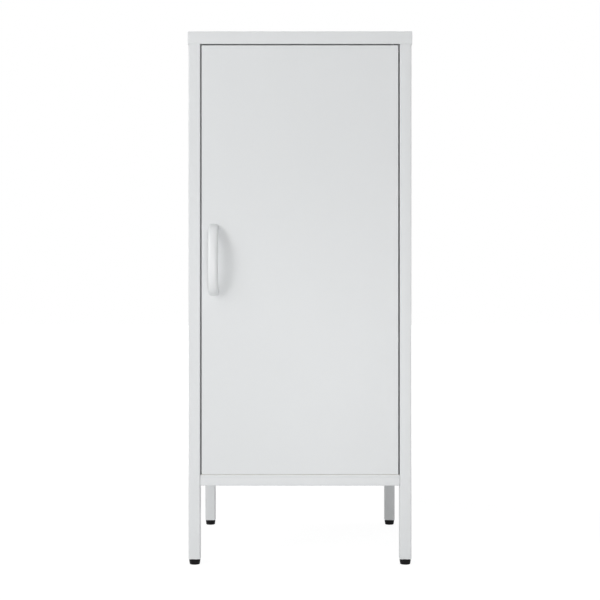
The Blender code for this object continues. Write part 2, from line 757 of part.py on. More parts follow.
def build_bushes():
    """A flanged bush under the bottom wall of the door, and one snapped up through its top wall."""
    flange_bottom = DOOR_BOTTOM - SEAT_GAP - BUSH_FLANGE
    flange_top = flange_bottom + BUSH_FLANGE
    bottom_profile = [
        (BUSH_BORE_RADIUS, flange_bottom),
        (BUSH_FLANGE_RADIUS, flange_bottom),
        (BUSH_FLANGE_RADIUS, flange_top),
        (BUSH_RADIUS, flange_top),
        (BUSH_RADIUS, flange_top + BUSH_BARREL),
        (BUSH_BORE_RADIUS, flange_top + BUSH_BARREL),
    ]
    shoulder = DOOR_TOP - SHEET - SEAT_GAP
    lip = DOOR_TOP + SEAT_GAP
    top_profile = [
        (BUSH_BORE_RADIUS, shoulder - BUSH_FLANGE - BUSH_BARREL),
        (BUSH_RADIUS, shoulder - BUSH_FLANGE - BUSH_BARREL),
        (BUSH_RADIUS, shoulder - BUSH_FLANGE),
        (BUSH_FLANGE_RADIUS, shoulder - BUSH_FLANGE),
        (BUSH_FLANGE_RADIUS, shoulder),
        (BUSH_RADIUS, shoulder),
        (BUSH_RADIUS, lip),
        (BUSH_RADIUS + BUSH_LIP, lip),
        (BUSH_RADIUS, lip + BUSH_LIP_HEIGHT),
        (BUSH_BORE_RADIUS, lip + BUSH_LIP_HEIGHT),
    ]
    axis = (PIVOT_X, PIVOT_Y, 0.0)
    part("hinge_bush_bottom", turned(bottom_profile, closed=True), WHITE_NYLON, DOOR, axis)
    part("hinge_bush_top", turned(top_profile, closed=True), WHITE_NYLON, DOOR, axis)


def build_pins():
    """The pin hung from the front rail, the pin up from the floor, and the washer that carries the door."""
    head_bottom = FRONT_RAIL_BOTTOM + POST_WALL + SEAT_GAP
    top_profile = [
        (PIN_RADIUS, DOOR_TOP - PIN_ENGAGEMENT),
        (PIN_RADIUS, head_bottom),
        (PIN_HEAD_RADIUS, head_bottom),
        (PIN_HEAD_RADIUS, head_bottom + PIN_HEAD),
    ]
    head_top = FLOOR_TOP - SHEET - SEAT_GAP
    bottom_profile = [
        (PIN_HEAD_RADIUS, head_top - PIN_HEAD),
        (PIN_HEAD_RADIUS, head_top),
        (PIN_RADIUS, head_top),
        (PIN_RADIUS, DOOR_BOTTOM + PIN_ENGAGEMENT),
    ]
    washer_top = DOOR_BOTTOM - SEAT_GAP - BUSH_FLANGE - SEAT_GAP
    washer_profile = [
        (BUSH_BORE_RADIUS, FLOOR_TOP + SEAT_GAP),
        (WASHER_RADIUS, FLOOR_TOP + SEAT_GAP),
        (WASHER_RADIUS, washer_top),
        (BUSH_BORE_RADIUS, washer_top),
    ]
    axis = (PIVOT_X, PIVOT_Y, 0.0)
    part("hinge_pin_top", turned(top_profile), ZINC_STEEL, CABINET, axis)
    part("hinge_pin_bottom", turned(bottom_profile), ZINC_STEEL, CABINET, axis)
    part("hinge_washer", turned(washer_profile, closed=True), WHITE_NYLON, CABINET, axis)


def handle_screw_heights():
    """Heights of the handle's two screws."""
    half = HANDLE_SCREW_CENTRES / 2
    return (HANDLE_CENTRE_HEIGHT - half, HANDLE_CENTRE_HEIGHT + half)


def signed_power(value, power):
    """A power that keeps the sign of its base."""
    return math.copysign(abs(value) ** power, value)


def bow_point(turn):
    """A point of the handle's centre line, as (height from its middle, reach from the door)."""
    rise = -HANDLE_SCREW_CENTRES / 2 * signed_power(math.cos(turn), 2 / HANDLE_BOW_POWER)
    reach = (HANDLE_REACH - HANDLE_GRIP_THICKNESS / 2) * max(math.sin(turn), 0.0) ** (2 / HANDLE_BOW_POWER)
    return Vector((rise, reach))


def handle_ring(step):
    """A section of the handle, square to its centre line: flattened, and thicker towards its feet."""
    point = bow_point(math.pi * step / HANDLE_STEPS)
    before = bow_point(math.pi * max(step - 1, 0) / HANDLE_STEPS)
    after = bow_point(math.pi * min(step + 1, HANDLE_STEPS) / HANDLE_STEPS)
    along = (after - before).normalized()
    if step == 0:
        along = Vector((0.0, 1.0))
    if step == HANDLE_STEPS:
        along = Vector((0.0, -1.0))
    outward = Vector((-along.y, along.x))
    share = point.y / (HANDLE_REACH - HANDLE_GRIP_THICKNESS / 2)
    thickness = HANDLE_FOOT_THICKNESS + (HANDLE_GRIP_THICKNESS - HANDLE_FOOT_THICKNESS) * share
    ring = []
    for side in range(HANDLE_SIDES):
        angle = 2 * math.pi * side / HANDLE_SIDES
        across = HANDLE_WIDTH / 2 * signed_power(math.cos(angle), 2 / HANDLE_SECTION_POWER)
        through = thickness / 2 * signed_power(math.sin(angle), 2 / HANDLE_SECTION_POWER)
        place = point + outward * through
        ring.append((across, -place.y, place.x))
    return ring


def build_handle():
    """The bow handle and the two screws that hold it from inside the door."""
    bm = skin([handle_ring(step) for step in range(HANDLE_STEPS + 1)])
    place = (HANDLE_X, DOOR_FRONT_Y - SEAT_GAP, HANDLE_CENTRE_HEIGHT)
    handle = part("handle", bm, WHITE_PAINT, DOOR, place)
    shank = SHEET + 2 * SEAT_GAP + HANDLE_SCREW_BITE
    holes = bmesh.new()
    points_forward = (math.radians(90), 0.0, 0.0)
    for label, height in zip(("lower", "upper"), handle_screw_heights()):
        depth = 2 * (HANDLE_SCREW_BITE + RUNNING_GAP)
        centre = (HANDLE_X, DOOR_FRONT_Y - SEAT_GAP, height)
        add_rod(holes, centre, SCREW_DIAMETER / 2 + RUNNING_GAP, depth, (0, 1, 0))
        bm = screw(SCREW_DIAMETER, shank, SCREW_HEAD_RADIUS, SCREW_HEAD)
        place = (HANDLE_X, DOOR_SKIN_Y + SEAT_GAP, height)
        part("handle_screw_" + label, bm, ZINC_STEEL, DOOR, place, points_forward)
    combine(handle, helper("holes_handle", holes, DOOR), "DIFFERENCE")


def build_stop():
    """A flat strip on the left panel's front flange that reaches behind the door, and its two bumpers."""
    left = -BAY_HALF_WIDTH - STOP_OVERLAP
    right = -BAY_HALF_WIDTH + STOP_REACH
    bottom = FLOOR_TOP + SEAT_GAP
    top = FRONT_RAIL_BOTTOM
    front = -SIDE_FLANGE_INNER_Y + SEAT_GAP
    half_x = (right - left) / 2
    half_z = (top - bottom) / 2
    rings = []
    for depth in (0.0, STOP_SHEET):
        ring = rounded_rectangle(half_x, half_z, STOP_CORNER, depth)
        rings.append([(x, -depth_in, z) for x, z, depth_in in ring])
    place = ((left + right) / 2, front + STOP_SHEET, (top + bottom) / 2)
    part("door_stop_strip", skin(rings), WHITE_PAINT, CABINET, place)
    bumper_back = front - SEAT_GAP
    bumper_front = DOOR_REAR_Y + SEAT_GAP
    thickness = bumper_back - bumper_front
    profile = [(BUMPER_RADIUS, 0.0)]
    for step in range(DOME_STEPS + 1):
        angle = math.pi / 2 * step / DOME_STEPS
        radius = BUMPER_RADIUS - BUMPER_SHOULDER * (1 - math.cos(angle))
        profile.append((radius, thickness - BUMPER_DOME * (1 - math.sin(angle))))
    points_forward = (math.radians(90), 0.0, 0.0)
    x = (right - DOOR_HALF_WIDTH) / 2
    heights = (DOOR_BOTTOM + BUMPER_END_DISTANCE, DOOR_TOP - BUMPER_END_DISTANCE)
    for label, height in zip(("lower", "upper"), heights):
        place = (x, bumper_back, height)
        part("door_bumper_" + label, turned(profile), GREY_RUBBER, CABINET, place, points_forward)


def catch_middle_x():
    """Middle of the catch, across the cabinet."""
    return -DOOR_HALF_WIDTH + CATCH_EDGE_INSET


def catch_screw_places():
    """Where the catch's screws go into the front rail, across the cabinet."""
    half = CATCH_SCREW_SPACING / 2
    return (catch_middle_x() - half, catch_middle_x() + half)


def catch_flange_middle():
    """Height of the middle of the catch's flange on the rail."""
    return FRONT_RAIL_BOTTOM + CATCH_FLANGE_HEIGHT / 2


def build_catch():
    """The magnetic catch behind the door's top lip: a case screwed to the front rail, and its magnet."""
    pole_front = DOOR_REAR_Y + SEAT_GAP
    front = pole_front + CATCH_PROUD
    rear = front + CATCH_BODY_DEPTH
    magnet_middle = DOOR_TOP - DOOR_LIP / 2
    bottom = magnet_middle - MAGNET_HEIGHT / 2 - CATCH_WALL
    shoulder = FRONT_RAIL_BOTTOM - SEAT_GAP
    flange_front = -BAY_HALF_DEPTH + SEAT_GAP
    flange_rear = flange_front + CATCH_FLANGE_THICKNESS
    flange_top = FRONT_RAIL_BOTTOM + CATCH_FLANGE_HEIGHT
    outline = [
        (front, bottom),
        (rear, bottom),
        (rear, shoulder),
        (flange_rear, shoulder + CATCH_FLANGE_THICKNESS),
        (flange_rear, flange_top),
        (flange_front, flange_top),
        (flange_front, shoulder),
        (front, shoulder),
    ]
    x = catch_middle_x()
    left = x - CATCH_BODY_WIDTH / 2
    right = x + CATCH_BODY_WIDTH / 2
    bm = skin([[(end, y, z) for y, z in outline] for end in (left, right)])
    rear_edges = [edge for edge in bm.edges if min(vert.co.y for vert in edge.verts) > rear - SEAT_GAP]
    round_edges(bm, rear_edges, CATCH_CORNER, FOLD_STEPS)
    case = part("catch_case", bm, WHITE_NYLON, CABINET)

    half_width = MAGNET_WIDTH / 2
    half_height = MAGNET_HEIGHT / 2
    pocket_floor = pole_front + MAGNET_DEPTH + SEAT_GAP
    cuts = bmesh.new()
    low = (x - half_width - SEAT_GAP, front - CATCH_PROUD, magnet_middle - half_height - SEAT_GAP)
    high = (x + half_width + SEAT_GAP, pocket_floor, magnet_middle + half_height + SEAT_GAP)
    add_block(cuts, low, high)
    for place in catch_screw_places():
        centre = (place, flange_rear, catch_flange_middle())
        length = 2 * CATCH_FLANGE_THICKNESS + HOLE_CUT
        add_rod(cuts, centre, CATCH_SCREW_DIAMETER / 2 + RUNNING_GAP, length, (0, 1, 0))
    combine(case, helper("cuts_catch_case", cuts, CABINET), "DIFFERENCE")

    magnet_front = pole_front + 2 * CATCH_PROUD
    magnet_back = pole_front + MAGNET_DEPTH
    section = [
        (magnet_back, -half_height),
        (magnet_back, half_height),
        (pole_front, half_height),
        (pole_front, half_height - POLE_PLATE),
        (magnet_front, half_height - POLE_PLATE),
        (magnet_front, POLE_PLATE - half_height),
        (pole_front, POLE_PLATE - half_height),
        (pole_front, -half_height),
    ]
    ends = (x - half_width, x + half_width)
    bm = skin([[(end, y, magnet_middle + z) for y, z in section] for end in ends])
    part("catch_magnet", bm, MAGNET_STEEL, CABINET)

    points_forward = (math.radians(90), 0.0, 0.0)
    for label, place in zip(("left", "right"), catch_screw_places()):
        bm = screw(CATCH_SCREW_DIAMETER, CATCH_SCREW_LENGTH, CATCH_SCREW_HEAD_RADIUS, CATCH_SCREW_HEAD)
        seat = (place, flange_rear + SEAT_GAP, catch_flange_middle())
        part("catch_screw_" + label, bm, ZINC_STEEL, CABINET, seat, points_forward)


def clip_mesh():
    """The mesh that the shelf clips share: a bent strip with a hook.

    Its origin is at the lower edge of its slot, on the inner face of the panel's flange, and +Y points
    into the cabinet.
    """
    tab_top = -CLIP_HOOK_RISE
    outline = [
        (SEAT_GAP, tab_top + CLIP_PLATE_RISE),
        (SEAT_GAP, tab_top - CLIP_SHEET),
        (SEAT_GAP + CLIP_TAB, tab_top - CLIP_SHEET),
    ]
    half = CLIP_WIDTH / 2
    bm = bmesh.new()
    left = [bm.verts.new((-half, y, z)) for y, z in outline]
    right = [bm.verts.new((half, y, z)) for y, z in outline]
    for here in range(len(outline) - 1):
        bm.faces.new((left[here], left[here + 1], right[here + 1], right[here]))
    round_edges(bm, [bm.edges.get((left[1], right[1]))], FOLD_RADIUS, FOLD_STEPS)
    strip = new_object("clip_strip", mesh_from("clip_strip", bm), CABINET)
    give_thickness(strip, CLIP_SHEET)

    wall = SHEET + SEAT_GAP + POST_WALL
    beak_front = -(wall + SEAT_GAP)
    beak_back = beak_front - CLIP_SHEET
    neck_top = SEAT_GAP + CLIP_NECK
    hook = [
        (SEAT_GAP + CLIP_SHEET / 2, SEAT_GAP),
        (SEAT_GAP + CLIP_SHEET / 2, neck_top),
        (beak_back, neck_top),
        (beak_back, SEAT_GAP - CLIP_BEAK),
        (beak_front, SEAT_GAP - CLIP_BEAK),
        (beak_front, SEAT_GAP),
    ]
    half_hook = SLOT_WIDTH / 2 - SEAT_GAP
    bm = skin([[(x, y, z) for y, z in hook] for x in (-half_hook, half_hook)])
    tool = helper("clip_hook", bm, CABINET)
    combine(strip, tool, "UNION")

    bpy.context.view_layer.update()
    graph = bpy.context.evaluated_depsgraph_get()
    mesh = bpy.data.meshes.new_from_object(strip.evaluated_get(graph))
    mesh.set_sharp_from_angle(angle=SHARP_ANGLE)
    for done in (strip, tool):
        bpy.data.objects.remove(done, do_unlink=True)
    return mesh


def build_shelves():
    """Two folded shelves, each on four clips hooked into the slots at the corners."""
    shared_clip = clip_mesh()
    half_width = SIDE_INNER_X - SHELF_SIDE_GAP
    half_depth = SIDE_FLANGE_INNER_Y - SHELF_END_GAP
    for order, shelf_name in enumerate(SHELF_NAMES):
        bottom = slot_bottom(shelf_slot(order))
        shelf_top = bottom + SHELF_RISE
        body = "shelf_" + shelf_name
        BODIES.add(body, (0.0, 0.0, shelf_top))
        bm = folded_pan(2 * half_width, 2 * half_depth, SHELF_FLANGE, SHELF_LIP)
        give_thickness(part(body, bm, WHITE_PAINT, body, (0.0, 0.0, shelf_top)), SHEET)
        for corner, side_x, side_y in CORNERS:
            facing_in = (0.0, 0.0, 0.0 if side_y < 0 else math.pi)
            place = (side_x * SLOT_X, side_y * SIDE_FLANGE_INNER_Y, bottom)
            name = "shelf_clip_" + shelf_name + "_" + corner
            mesh = shared_clip.copy()
            mesh.materials.clear()
            mesh.materials.append(material_for(name, ZINC_STEEL))
            new_object(name, mesh, CABINET, place, facing_in)


def keep_flats_flat():
    """Shade each sub-part by the area of its faces, so that a round edge doesn't tint the flat beside it."""
    for thing in bpy.context.scene.objects:
        if thing.type == "MESH" and not thing.hide_render:
            thing.modifiers.new("flat_faces", "WEIGHTED_NORMAL").keep_sharp = True


def main():
    """Build the whole cabinet."""
    clear_scene()
    BODIES.add(CABINET, (0.0, 0.0, 0.0))
    build_posts()
    build_top_rails()
    stud_holes = build_cap()
    screw_holes = build_side_panels(stud_holes)
    build_back_panel()
    build_floor(screw_holes)
    build_feet()
    build_door()
    build_pins()
    build_handle()
    build_stop()
    build_catch()
    build_shelves()
    keep_flats_flat()


main()
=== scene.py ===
"""Looks of the one-door metal storage cabinet, in the frame of its solids.

Metres, +Z up, the door facing -Y.
"""

import json
import math

import bmesh
import bpy
from mathutils import Matrix, Vector

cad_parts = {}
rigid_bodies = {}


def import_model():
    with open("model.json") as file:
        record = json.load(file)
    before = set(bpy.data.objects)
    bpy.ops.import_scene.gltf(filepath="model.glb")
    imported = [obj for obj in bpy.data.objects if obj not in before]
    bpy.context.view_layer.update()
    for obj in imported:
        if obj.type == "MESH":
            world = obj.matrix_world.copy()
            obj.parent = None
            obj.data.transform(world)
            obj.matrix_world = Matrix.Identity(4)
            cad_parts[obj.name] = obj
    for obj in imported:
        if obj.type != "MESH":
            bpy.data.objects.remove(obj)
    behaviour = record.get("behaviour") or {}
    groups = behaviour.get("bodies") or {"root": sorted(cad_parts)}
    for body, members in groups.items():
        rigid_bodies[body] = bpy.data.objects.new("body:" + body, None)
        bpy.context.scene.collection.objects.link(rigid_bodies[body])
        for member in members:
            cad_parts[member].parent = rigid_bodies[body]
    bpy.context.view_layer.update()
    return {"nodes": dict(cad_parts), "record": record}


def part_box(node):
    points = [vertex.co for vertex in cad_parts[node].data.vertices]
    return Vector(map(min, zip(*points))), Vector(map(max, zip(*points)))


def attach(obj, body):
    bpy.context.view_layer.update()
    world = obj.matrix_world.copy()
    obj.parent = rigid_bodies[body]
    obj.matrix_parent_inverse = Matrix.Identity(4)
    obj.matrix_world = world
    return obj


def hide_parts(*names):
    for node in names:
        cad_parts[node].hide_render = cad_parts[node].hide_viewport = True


for old in list(bpy.data.objects):
    bpy.data.objects.remove(old, do_unlink=True)
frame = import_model()
NODES = frame["nodes"]
SLOT_OF = {row["node"]: row["material_slot"] for row in frame["record"]["subparts"]}
BODY_OF = {node: body for body, group in frame["record"]["behaviour"]["bodies"].items() for node in group}
CORNERS = ("front_left", "front_right", "rear_left", "rear_right")

# Camera: level and square to the front, in a square picture, at a distance from the posts' front.
CAMERA_X = 0.0
CAMERA_HEIGHT = 0.4487
CAMERA_DISTANCE = 2.1247
LENS = 75.3
SENSOR = 36.0

# Studio light: an even surround and square soft lamps, as (name, place, size, power, spread in degrees).
SURROUND = 0.385
LAMP_AIM = (0.0, -0.19, 0.50)
LAMPS = (
    ("key_lamp", (-2.20, -2.39, 1.05), 0.6, 14.4, 180),
    ("left_lamp", (-2.0, -1.9, 1.9), 1.6, 21.6, 180),
    ("low_lamp", (0.15, -2.4, 0.22), 0.3, 10.4, 180),
    ("back_lamp", (0.0, 3.2, 0.45), 0.3, 1.0, 40),
    ("far_lamp", (3.2, 0.35, 0.45), 0.3, 0.9, 40),
    ("roof_lamp", (0.0, 0.12, 3.0), 0.5, 0.45, 30),
)

# Floor: its shadow shows through a white veil, thinnest near the object and closed at the fade distance.
FLOOR_SIZE = 40.0
FLOOR_COLOUR = (0.90, 0.90, 0.90)
FLOOR_VEIL = 0.75
FLOOR_GLOW = 1.20
FLOOR_FADE = 1.5
FLOOR_NEAR = 0.6

# Finishes: linear colours, the paint's gloss, and the span that holds most values of a noise texture.
PAINT_COLOUR = (0.722, 0.737, 0.744)
PAINT_DRIFT = (0.734, 0.748, 0.755)
PAINT_SPECK = (0.58, 0.59, 0.60)
PAINT_ROUGHNESS = 0.42
PAINT_GLOSS_DRIFT = 0.012
# The handle's coat is the same white paint written about six percent lighter: painted light for the light on
# its lit side.
HANDLE_PAINTED_LIGHT_COLOUR = (0.767, 0.782, 0.789)
HANDLE_PAINTED_LIGHT_DRIFT = (0.779, 0.793, 0.800)
HANDLE_ROUGHNESS = 0.36
ZINC_COLOUR = (0.60, 0.61, 0.62)
ZINC_COOL = (0.52, 0.56, 0.62)
ZINC_WARM = (0.64, 0.61, 0.54)
BLACK_COLOUR = (0.005, 0.005, 0.0055)
BLACK_DUST = (0.010, 0.010, 0.0105)
NYLON_COLOUR = (0.78, 0.77, 0.73)
NYLON_SHADE = (0.70, 0.69, 0.64)
RUBBER_COLOUR = (0.14, 0.14, 0.15)
RUBBER_BLOOM = (0.20, 0.20, 0.205)
MAGNET_COLOUR = (0.06, 0.06, 0.065)
MAGNET_SPECK = (0.22, 0.22, 0.23)
NOISE_LOW = 0.32
NOISE_HIGH = 0.68

# Shading of the solids and of the finer pieces.
SMOOTH_LIMIT = math.radians(50)
FINE_LIMIT = math.radians(32)
WELD_DISTANCE = 1e-6
ROUND_SIDES = 48
ROUND_STEPS = 4
ROUND_SHARE = 0.45
SOFT_EDGE = 0.00025
SOFT_SEGMENTS = 2
SOFT_NODES = ("shelf_clip", "catch_case", "catch_magnet", "leg_insert", "door_stop_strip", "cap_nut")

# Handle: a section with a domed front, swept along a bow that is a power curve.
HANDLE_STEPS = 96
HANDLE_SIDES = 48
HANDLE_SAMPLES = 4000
HANDLE_GRIP_THICKNESS = 0.008
HANDLE_FOOT_THICKNESS = 0.011
HANDLE_BOW_POWER = 2.3
HANDLE_GRIP_POWER = 2.2
HANDLE_FOOT_POWER = 3.6
HANDLE_BACK = 0.0022

# Feet.
FOOT_BASE_RADIUS = 0.0086
FOOT_EDGE = 0.0008
FOOT_RIM = 0.0022
FOOT_FLOOR = 0.0027
FOOT_ROUND = 0.0005
STUD_CLEARANCE = 0.0003
STUD_THREAD = (0.00125, 0.0006)

# Screws: heights of heads, radii of shanks, the thread's (pitch, depth), and shares of the head.
SCREW_HEADS = {"floor_screw": 0.0024, "handle_screw": 0.0024, "catch_screw": 0.0018}
SCREW_SHANKS = {"floor_screw": 0.0020, "handle_screw": 0.0020, "catch_screw": 0.0015}
SCREW_THREAD = (0.0007, 0.0003)
HEAD_RIM = 0.30
HEAD_STEPS = 7
HEAD_CURVE = 0.6
HEAD_CROWN = 0.05
THREAD_SIDES = 24
THREAD_STEPS = 8
CROSS_LENGTH = 0.60
CROSS_WIDTH = 0.17
CROSS_DEPTH = 0.75
CROSS_TAPER = 0.45
CROSS_CLEAR = 1.1

# Hinge and bumpers.
PIN_RADIUS = 0.0020
PIN_HEAD = 0.0015
BUSH_BORE = 0.0023
BUSH_RADIUS = 0.0032
BUSH_FLANGE = 0.0012
BUSH_BARREL = 0.0060
BUSH_SEAT = 0.0014
BUSH_LIP = 0.0006
BUSH_LIP_HEIGHT = 0.0005
TURNED_ROUND = 0.00025
BUMPER_ROUND = 0.0012
BUMPER_FLAT = 0.25

# Sealing strip on the hem under the door.
STRIP_CLEARANCE = 0.00006
STRIP_HEIGHT = 0.0009
STRIP_SINK = 0.00004
STRIP_ROUND = 0.0002
STRIP_THICKNESS = 0.0019
STRIP_END = 0.0006

# Spot welds: rings pressed in the sheet, as (radius, height) from the middle out.
WELD_RINGS = (
    (0.0004, 0.00005),
    (0.0017, 0.00006),
    (0.0022, 0.00022),
    (0.0027, 0.00018),
    (0.0031, -0.0002),
)
WELD_SIDES = 20
WELD_ROOT = -0.0003
WELD_PITCH = 0.080
WELD_END = 0.030
SHEET = 0.0008
STIFFENER_WELD_INSET = 0.006
STOP_WELD_INSET = 0.0035

# Inputs of a Map Range node, in order.
MAP_SOCKETS = ("From Min", "From Max", "To Min", "To Max")


def signed_power(value, power):
    """A power that keeps the sign of its base."""
    return math.copysign(abs(value) ** power, value)


class Finish:
    """A node material with a Principled shader, and short ways to wire textures into it."""

    def __init__(self, name, roughness, metallic=0.0):
        self.material = bpy.data.materials.new(name)
        self.material.use_nodes = True
        self.tree = self.material.node_tree
        self.shader = self.tree.nodes["Principled BSDF"]
        self.shader.inputs["Roughness"].default_value = roughness
        self.shader.inputs["Metallic"].default_value = metallic
        self.place = self.tree.nodes.new("ShaderNodeTexCoord").outputs["Object"]
        self.normal = None

    def noise(self, scale, detail=2.0):
        """Noise on the piece's own coordinates, with this many grains a metre."""
        node = self.tree.nodes.new("ShaderNodeTexNoise")
        node.inputs["Scale"].default_value = scale
        node.inputs["Detail"].default_value = detail
        self.tree.links.new(self.place, node.inputs["Vector"])
        return node.outputs["Fac"]

    def cells(self, scale):
        """Flat cells, such as the crystals of a plated surface."""
        node = self.tree.nodes.new("ShaderNodeTexVoronoi")
        node.inputs["Scale"].default_value = scale
        self.tree.links.new(self.place, node.inputs["Vector"])
        return node.outputs["Color"]

    def between(self, value, low, high, start=NOISE_LOW, end=NOISE_HIGH):
        """A texture's value stretched from one number to another."""
        node = self.tree.nodes.new("ShaderNodeMapRange")
        for socket, number in zip(MAP_SOCKETS, (start, end, low, high)):
            node.inputs[socket].default_value = number
        self.tree.links.new(value, node.inputs["Value"])
        return node.outputs["Result"]

    def mix(self, factor, first, second):
        """Two colours, or a colour socket and a colour, mixed by a texture."""
        node = self.tree.nodes.new("ShaderNodeMix")
        node.data_type = "RGBA"
        self.tree.links.new(factor, node.inputs["Factor"])
        for socket, colour in (("A_Color", first), ("B_Color", second)):
            target = next(entry for entry in node.inputs if entry.identifier == socket)
            if isinstance(colour, tuple):
                target.default_value = (*colour, 1.0)
            else:
                self.tree.links.new(colour, target)
        return next(entry for entry in node.outputs if entry.identifier == "Result_Color")

    def colour(self, socket):
        """The colour of the surface."""
        self.tree.links.new(socket, self.shader.inputs["Base Color"])

    def roughness(self, socket):
        """The roughness of the surface."""
        self.tree.links.new(socket, self.shader.inputs["Roughness"])

    def bump(self, height, depth, strength):
        """Relief of this depth, on top of any before it."""
        node = self.tree.nodes.new("ShaderNodeBump")
        node.inputs["Strength"].default_value = strength
        node.inputs["Distance"].default_value = depth
        self.tree.links.new(height, node.inputs["Height"])
        if self.normal is not None:
            self.tree.links.new(self.normal, node.inputs["Normal"])
        self.normal = node.outputs["Normal"]
        self.tree.links.new(self.normal, self.shader.inputs["Normal"])


def powder_coat(name, main, other, roughness):
    """Satin powder coat: slow drift of tone, orange peel at two scales, and fine pigment specks."""
    paint = Finish(name, roughness)
    drift = paint.between(paint.noise(scale=4.0), low=0.0, high=1.0)
    tone = paint.mix(drift, main, other)
    grains = paint.noise(scale=2600.0, detail=1.0)
    speck = paint.between(grains, low=0.0, high=0.3, start=0.70, end=0.78)
    paint.colour(paint.mix(speck, tone, PAINT_SPECK))
    glossy, matt = roughness - PAINT_GLOSS_DRIFT, roughness + PAINT_GLOSS_DRIFT
    paint.roughness(paint.between(paint.noise(scale=45.0), low=glossy, high=matt))
    paint.bump(paint.noise(scale=260.0), depth=0.0004, strength=0.05)
    paint.bump(paint.noise(scale=900.0), depth=0.0002, strength=0.07)
    return paint.material


def zinc_plate():
    """Bright zinc plate: small crystals, cool and warm tints, and uneven polish."""
    zinc = Finish("zinc_plate", roughness=0.30, metallic=1.0)
    tint = zinc.mix(zinc.between(zinc.noise(scale=70.0), low=0.0, high=1.0), ZINC_COOL, ZINC_WARM)
    evenness = zinc.between(zinc.noise(scale=160.0), low=0.35, high=0.85)
    zinc.colour(zinc.mix(evenness, tint, ZINC_COLOUR))
    zinc.roughness(zinc.between(zinc.cells(scale=900.0), low=0.22, high=0.40, start=0.0, end=1.0))
    zinc.bump(zinc.noise(scale=1800.0), depth=0.00005, strength=0.12)
    return zinc.material


def moulded_black():
    """Black plastic with a fine moulded grain and a little dust."""
    plastic = Finish("moulded_black", roughness=0.55)
    plastic.shader.inputs["Specular IOR Level"].default_value = 0.12
    dust = plastic.between(plastic.noise(scale=220.0, detail=4.0), low=0.0, high=0.6)
    plastic.colour(plastic.mix(dust, BLACK_COLOUR, BLACK_DUST))
    plastic.roughness(plastic.between(plastic.noise(scale=300.0), low=0.50, high=0.65))
    plastic.bump(plastic.noise(scale=2600.0), depth=0.00008, strength=0.25)
    return plastic.material


def moulded_nylon():
    """Off-white nylon that lets a little light in."""
    nylon = Finish("moulded_nylon", roughness=0.45)
    nylon.shader.inputs["Subsurface Weight"].default_value = 0.15
    nylon.shader.inputs["Subsurface Radius"].default_value = (0.0012, 0.0011, 0.0009)
    nylon.shader.inputs["Subsurface Scale"].default_value = 1.0
    shade = nylon.between(nylon.noise(scale=90.0), low=0.0, high=1.0)
    nylon.colour(nylon.mix(shade, NYLON_COLOUR, NYLON_SHADE))
    nylon.roughness(nylon.between(nylon.noise(scale=260.0), low=0.38, high=0.52))
    nylon.bump(nylon.noise(scale=1500.0), depth=0.00006, strength=0.15)
    return nylon.material


def soft_rubber():
    """Matt grey rubber with a chalky bloom."""
    rubber = Finish("soft_rubber", roughness=0.80)
    bloom = rubber.between(rubber.noise(scale=400.0, detail=4.0), low=0.0, high=1.0)
    rubber.colour(rubber.mix(bloom, RUBBER_COLOUR, RUBBER_BLOOM))
    rubber.roughness(rubber.between(rubber.noise(scale=350.0), low=0.72, high=0.90))
    rubber.bump(rubber.noise(scale=3000.0), depth=0.00006, strength=0.2)
    return rubber.material


def ferrite():
    """Dark ferrite with bright specks."""
    magnet = Finish("ferrite", roughness=0.45, metallic=0.6)
    grains = magnet.noise(scale=1800.0, detail=3.0)
    speck = magnet.between(grains, low=0.0, high=1.0, start=0.45, end=0.75)
    magnet.colour(magnet.mix(speck, MAGNET_COLOUR, MAGNET_SPECK))
    magnet.roughness(magnet.between(magnet.noise(scale=500.0), low=0.35, high=0.60))
    magnet.bump(magnet.noise(scale=1200.0), depth=0.00008, strength=0.2)
    return magnet.material


FINISHES = {
    "white_paint": powder_coat("powder_coat", PAINT_COLOUR, PAINT_DRIFT, PAINT_ROUGHNESS),
    "zinc_steel": zinc_plate(),
    "black_plastic": moulded_black(),
    "white_nylon": moulded_nylon(),
    "grey_rubber": soft_rubber(),
    "magnet_steel": ferrite(),
}
# The handle's finish: the door's paint made lighter, as painted light for its lit side.
HANDLE_PAINTED_LIGHT_FINISH = powder_coat("handle_coat_painted_light", HANDLE_PAINTED_LIGHT_COLOUR, HANDLE_PAINTED_LIGHT_DRIFT, HANDLE_ROUGHNESS)


def even_shading():
    """A modifier tree that joins a solid's split corners and shades it smooth, apart from its sharp edges."""
    tree = bpy.data.node_groups.new("even_shading", "GeometryNodeTree")
    tree.interface.new_socket("Geometry", in_out="INPUT", socket_type="NodeSocketGeometry")
    tree.interface.new_socket("Geometry", in_out="OUTPUT", socket_type="NodeSocketGeometry")
    flow = tree.nodes.new("NodeGroupInput").outputs["Geometry"]

    def through(kind, **settings):
        """One more node on the geometry's way."""
        node = tree.nodes.new(kind)
        for name, value in settings.items():
            setattr(node, name, value)
        tree.links.new(flow, node.inputs["Geometry"])
        return node

    for attribute in ("custom_normal", "sharp_face", "sharp_edge"):
        bare = through("GeometryNodeRemoveAttribute")
        bare.inputs["Name"].default_value = attribute
        flow = bare.outputs["Geometry"]
    weld = through("GeometryNodeMergeByDistance")
    weld.inputs["Distance"].default_value = WELD_DISTANCE
    flow = weld.outputs["Geometry"]
    faces = through("GeometryNodeSetShadeSmooth", domain="FACE")
    flow = faces.outputs["Geometry"]
    edges = through("GeometryNodeSetShadeSmooth", domain="EDGE")
    edges.inputs["Shade Smooth"].default_value = False
    angle = tree.nodes.new("GeometryNodeInputMeshEdgeAngle")
    sharp = tree.nodes.new("FunctionNodeCompare")
    sharp.data_type = "FLOAT"
    sharp.operation = "GREATER_THAN"
    sharp.inputs["B"].default_value = SMOOTH_LIMIT
    tree.links.new(angle.outputs["Unsigned Angle"], sharp.inputs["A"])
    tree.links.new(sharp.outputs["Result"], edges.inputs["Selection"])
    tree.links.new(edges.outputs["Geometry"], tree.nodes.new("NodeGroupOutput").inputs["Geometry"])
    return tree


